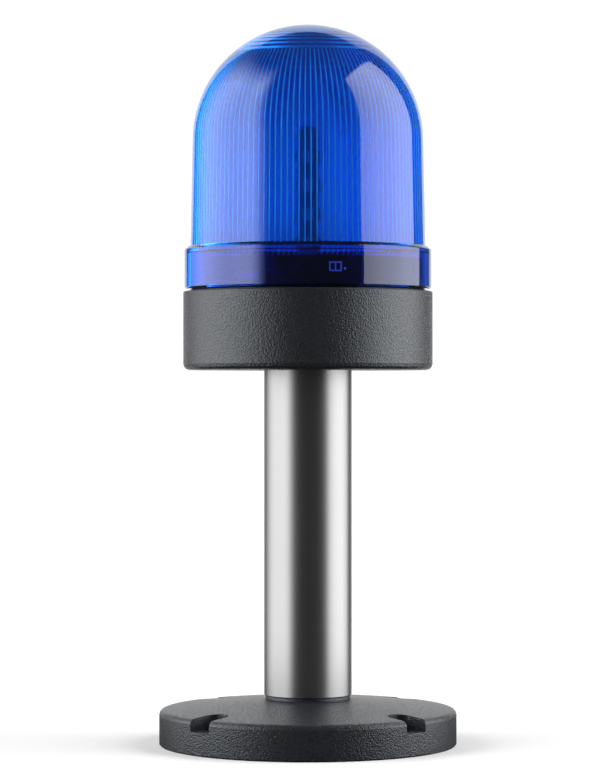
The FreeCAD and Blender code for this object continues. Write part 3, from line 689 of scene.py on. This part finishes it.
class BEACON_OT_lens(Operator):
    """Make the fluted lens that stands for the lens of the frame."""

    bl_idname = "beacon.lens"
    bl_label = "Fluted lens"

    def execute(self, context):
        settings = context.scene.beacon_lens
        build_lens(settings, new_material("clear_blue", lens_finish, settings))
        return {"FINISHED"}


class BEACON_OT_mark(Operator):
    """Add the small raised lock mark on the collar."""

    bl_idname = "beacon.mark"
    bl_label = "Lock mark"

    def execute(self, context):
        points, faces = lock_mark()
        material = new_material("clear_blue_mark", mark_finish)
        new_piece("lens_lock_mark", points, faces, material, "lens")
        return {"FINISHED"}


class BEACON_OT_mouldings(Operator):
    """Finish the mouldings: housing, foot, the plugs in the tube and the seal."""

    bl_idname = "beacon.mouldings"
    bl_label = "Black mouldings"

    def execute(self, context):
        settings = context.scene.beacon_plastic
        plug = moulded((0.035, 0.035, 0.04), rough=0.5)
        rubber = moulded((0.018, 0.018, 0.018), rough=0.7)
        paint(["housing", "foot"], new_material("black_grain", black_grain_finish, settings))
        paint(["tube_plug_lower", "tube_plug_upper"], new_material("plug_black", plug))
        paint(["lens_seal"], new_material("seal_rubber", rubber))
        return {"FINISHED"}


class BEACON_OT_metal(Operator):
    """Finish the steel tube and the screws."""

    bl_idname = "beacon.metal"
    bl_label = "Tube and screws"

    def execute(self, context):
        settings = context.scene.beacon_metal
        paint(["tube"], new_material("satin_steel", steel_finish, settings))
        screws = [name for name in NODES if name.endswith("_screws")]
        paint(screws, new_material("zinc_plate", screw_finish))
        return {"FINISHED"}


class BEACON_OT_inside(Operator):
    """Finish the board, the parts on it and the light post."""

    bl_idname = "beacon.inside"
    bl_label = "Inside"

    def execute(self, context):
        strips = [name for name in NODES if name.startswith("led_strip")]
        lights = [name for name in NODES if name.startswith("leds_")]
        finishes = [
            ("green_board", board_finish((0.015, 0.12, 0.045)), ["driver_board"]),
            ("white_board", board_finish((0.50, 0.51, 0.50)), strips + ["led_cap_board"]),
            ("light_chip", chip_light_finish, lights + ["led_top"]),
            ("block_green", moulded((0.03, 0.22, 0.08), rough=0.45), ["terminal_block"]),
            ("capacitor_sleeve", moulded((0.02, 0.02, 0.03), rough=0.3), ["capacitor"]),
            ("choke_grey", moulded((0.07, 0.065, 0.06), rough=0.6), ["choke"]),
            ("chip_resin", moulded((0.02, 0.02, 0.02), rough=0.5), ["rectifier", "driver_chip"]),
            ("post_grey", moulded((0.30, 0.30, 0.31), rough=0.5), ["led_post"]),
        ]
        for name, build, node_names in finishes:
            paint(node_names, new_material(name, build))
        return {"FINISHED"}


# Stage


def floor_finish(web, settings):
    """Pale floor: it keeps the beacon's soft shadow for the camera, and throws little light back.

    Away from the beacon reflections pass through it, because the side panels reach below its level.
    """
    seen = web.maths("MAXIMUM", web.ray("Camera"), web.ray("Transmission"))
    tone = web.mix(seen, (0.10, 0.10, 0.10), (0.86, 0.86, 0.86))
    diffuse = web.node("ShaderNodeBsdfDiffuse", None, {"Color": tone})
    glow = web.node("ShaderNodeEmission", None, {"Color": (1.0, 1.0, 1.0), "Strength": 0.15 * seen})
    both = web.node("ShaderNodeAddShader", None, {0: diffuse, 1: glow})
    clear = web.node("ShaderNodeBsdfTransparent")
    solid_radius, clear_radius = 0.11, 0.16
    across, deep, up = web.parts(web.place())
    near = web.maths("SQRT", across * across + deep * deep)
    opened = web.ray("Glossy") * web.step(near, solid_radius, clear_radius)
    mixed = web.node("ShaderNodeMixShader", None, {0: opened, 1: both, 2: clear})
    web.node("ShaderNodeOutputMaterial", None, {"Surface": mixed})


def beyond(web, direction, first, second, soft):
    """How far a direction lies beyond an edge: 0 on the right of it, 1 on its left.

    The edge is the straight line seen from the beacon through two points, each a turn and a
    climb in degrees, and it is soft over some degrees on either side.
    """
    ends = []
    for turn, climb in (first, second):
        turn, climb = math.radians(turn), math.radians(climb)
        ends.append((math.sin(turn) * math.cos(climb), -math.cos(turn) * math.cos(climb), math.sin(climb)))
    normal = np.cross(*ends)
    normal = normal / np.linalg.norm(normal)
    vectors = {0: direction, 1: tuple(normal)}
    away = web.node("ShaderNodeVectorMath", {"operation": "DOT_PRODUCT"}, vectors, output="Value")
    width = math.sin(math.radians(soft))
    return web.step(away, -width, width)


def right_panel(web, direction, turn):
    """The right panel: 1 in its middle and 0 off it, dimmer towards its near and far ends.

    Its near edge and its top edge are straight and crisp, and its far edge is upright. Straight
    edges go on round the beacon, so nothing to the left of the front counts.
    """
    near_top, near_low, far_top = (57.0, 53.2), (53.0, 0.0), (127.5, 47.2)
    panel = beyond(web, direction, near_top, near_low, soft=0.8)
    panel = panel * beyond(web, direction, far_top, near_top, soft=1.0)
    panel = panel * web.fade(turn, 125.5, 127.5) * web.step(turn, -10.0, 0.0)
    return panel * web.change(turn, 54.0, 77.0, 0.72, 1.0) * web.change(turn, 98.0, 127.0, 1.0, 0.6)


def left_panel(web, turn, climb):
    """The left panel: 1 on it and 0 off it, with soft edges, the near one and the top leaning."""
    panel = web.step(-turn - 0.2 * climb, 37.0, 56.5) * web.change(-turn, 66.0, 80.0, 1.1, 1.0)
    return panel * web.fade(-turn, 98.0, 148.0) * web.fade(climb - 0.15 * turn, 52.0, 76.0)


def studio_world(web, settings):
    """White backdrop behind, a soft panel on each side, and dark gaps between and above.

    The turn is the direction's angle round the beacon, 0 at the front and positive to the
    right, the climb its angle above the level and away its angle from straight behind, all in
    degrees. The camera sees white all round.
    """
    direction = web.node("ShaderNodeTexCoord", output="Generated")
    across, deep, up = web.parts(direction)
    degrees = 180.0 / math.pi
    turn = web.maths("ARCTAN2", across, -deep) * degrees
    climb = web.maths("ARCSINE", up) * degrees
    away = 180.0 - abs(turn)
    through = web.ray("Transmission")

    # Light that has come through the lens finds the left panel brighter and the right one dimmer
    sides = (1.1 - 0.6 * through) * right_panel(web, direction, turn)
    sides = sides + (0.93 + 0.65 * through) * left_panel(web, turn, climb)
    sides = sides * web.step(climb, -24.0, -8.0)

    # It finds the backdrop dimmer, most of all on the right
    behind = web.fade(away - 0.15 * climb, 23.5, 26.5) * web.fade(climb, 47.0, 49.0)
    right_half = web.step(turn, 90.0, 91.0) * web.step(away, 2.0, 8.0)
    behind = settings.backdrop * behind * (1.0 - (0.26 + 0.2 * right_half) * through)

    # It alone sees a strip on either side of the backdrop, bright on the left
    strips = web.step(away, 22.0, 29.0) * web.fade(away, 56.0, 68.0) * web.fade(climb, 25.0, 42.0)
    strips = web.change(turn, -20.0, 20.0, 4.6, 0.7) * strips * through

    studio = settings.panel * sides + behind + settings.gap + strips
    strength = web.maths("MAXIMUM", studio, web.ray("Camera"))
    back = web.node("ShaderNodeBackground", None, {"Color": (1.0, 1.0, 1.0), "Strength": strength})
    web.node("ShaderNodeOutputWorld", None, {"Surface": back})


def lay_floor(scene, half):
    """A square floor at height 0, as wide and deep as twice its half width."""
    corners = [(-half, -half, 0.0), (half, -half, 0.0), (half, half, 0.0), (-half, half, 0.0)]
    mesh = bpy.data.meshes.new("floor")
    mesh.from_pydata(corners, [], [(0, 1, 2, 3)])
    floor = bpy.data.objects.new("floor", mesh)
    scene.collection.objects.link(floor)
    mesh.materials.append(new_material("pale_floor", floor_finish))


def set_camera(scene, settings):
    """A level camera in front, shifted a little as the photograph is framed."""
    width, height = 600.0, 780.0
    axis_column, eye_row = 307.9, 387.0
    data = bpy.data.cameras.new("camera")
    data.lens = settings.focal
    data.sensor_width = 36.0
    data.shift_x = (width / 2 - axis_column) / height
    data.shift_y = (eye_row - height / 2) / height
    data.clip_start = 0.01
    camera = bpy.data.objects.new("camera", data)
    camera.location = (0.0, -settings.distance, settings.eye)
    camera.rotation_euler = (math.pi / 2, 0.0, 0.0)
    scene.collection.objects.link(camera)
    scene.camera = camera


class BEACON_OT_stage(Operator):
    """Lay the floor, light the studio and set the camera."""

    bl_idname = "beacon.stage"
    bl_label = "Floor, light and camera"

    def execute(self, context):
        scene = context.scene
        settings = scene.beacon_stage
        lay_floor(scene, half=4.0)
        world = bpy.data.worlds.new("studio")
        world.use_nodes = True
        studio_world(Web(world.node_tree), settings)
        scene.world = world
        set_camera(scene, settings)
        scene.view_settings.view_transform = "Standard"
        return {"FINISHED"}


# Add-on


class BEACON_PT_panel(Panel):
    """Buttons for each step of the dressing."""

    bl_label = "Signal beacon"
    bl_idname = "BEACON_PT_panel"
    bl_space_type = "VIEW_3D"
    bl_region_type = "UI"
    bl_category = "Beacon"

    def draw(self, context):
        for step in STEPS:
            self.layout.operator(step.bl_idname)


STEPS = (
    BEACON_OT_lens,
    BEACON_OT_mark,
    BEACON_OT_mouldings,
    BEACON_OT_metal,
    BEACON_OT_inside,
    BEACON_OT_stage,
)
GROUPS = {
    "beacon_lens": LensSettings,
    "beacon_plastic": PlasticSettings,
    "beacon_metal": MetalSettings,
    "beacon_stage": StageSettings,
}


def register():
    for group in GROUPS.values():
        bpy.utils.register_class(group)
    for name, group in GROUPS.items():
        setattr(bpy.types.Scene, name, PointerProperty(type=group))
    for step in STEPS:
        bpy.utils.register_class(step)
    bpy.utils.register_class(BEACON_PT_panel)


def unregister():
    bpy.utils.unregister_class(BEACON_PT_panel)
    for step in reversed(STEPS):
        bpy.utils.unregister_class(step)
    for name in GROUPS:
        delattr(bpy.types.Scene, name)
    for group in reversed(list(GROUPS.values())):
        bpy.utils.unregister_class(group)


def main():
    register()
    for step in STEPS:
        group, name = step.bl_idname.split(".")
        getattr(getattr(bpy.ops, group), name)()


if __name__ == "__main__":
    main()
